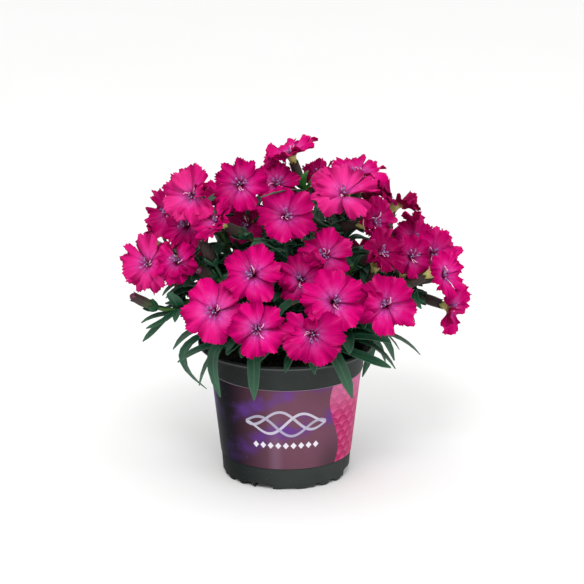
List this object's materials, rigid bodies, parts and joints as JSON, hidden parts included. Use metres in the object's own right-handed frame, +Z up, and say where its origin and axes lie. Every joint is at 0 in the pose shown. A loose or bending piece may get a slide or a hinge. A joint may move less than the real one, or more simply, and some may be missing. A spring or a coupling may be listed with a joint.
{
  "type": "potted dianthus plant",
  "caption": "Mounded dianthus in full bloom, toothed magenta petals over narrow blue-green leaves, growing in a round tapered plastic pot with a printed sleeve; stands on its base.",
  "frame": {"origin": "the middle of the pot's base, on the surface it stands on", "axes": "+Z up the pot's axis; -Y towards the front, where the fullest blooms face; +X to the right as seen from the front"},
  "size_m": [0.2363, 0.2092, 0.2322],
  "materials": {
    "pot_plastic": "satin",
    "printed_sleeve": "satin",
    "potting_soil": "matte",
    "foliage": "matte",
    "petals": "matte"
  },
  "bodies": {
    "root": {"pot": "pot_plastic", "sleeve": "printed_sleeve", "soil": "potting_soil", "shoot_01": "foliage", "shoot_02": "foliage", "shoot_03": "foliage", "shoot_04": "foliage", "shoot_05": "foliage", "shoot_06": "foliage", "shoot_07": "foliage", "shoot_08": "foliage", "shoot_09": "foliage", "shoot_10": "foliage", "shoot_11": "foliage", "bloom_01_1": "petals", "bloom_01_2": "petals", "bloom_01_3": "petals", "bloom_02_1": "petals", "bloom_02_2": "petals", "bloom_02_3": "petals", "bloom_02_4": "petals", "bloom_03_1": "petals", "bloom_03_2": "petals", "bloom_03_3": "petals", "bloom_03_4": "petals", "bloom_04_1": "petals", "bloom_04_2": "petals", "bloom_04_3": "petals", "bloom_05_1": "petals", "bloom_05_2": "petals", "bloom_05_3": "petals", "bloom_05_4": "petals", "bloom_06_1": "petals", "bloom_06_2": "petals", "bloom_06_3": "petals", "bloom_06_4": "petals", "bloom_07_1": "petals", "bloom_07_2": "petals", "bloom_07_3": "petals", "bloom_07_4": "petals", "bloom_07_5": "petals", "bloom_08_1": "petals", "bloom_08_2": "petals", "bloom_08_3": "petals", "bloom_08_4": "petals", "bloom_08_5": "petals", "bloom_08_6": "petals", "bloom_09_1": "petals", "bloom_09_2": "petals", "bloom_09_3": "petals", "bloom_09_4": "petals", "bloom_10_1": "petals", "bloom_10_2": "petals", "bloom_10_3": "petals", "bloom_10_4": "petals", "bloom_10_5": "petals", "bloom_11_1": "petals", "bloom_11_2": "petals", "bloom_11_3": "petals", "bloom_11_4": "petals"}
  },
  "joints": []
}
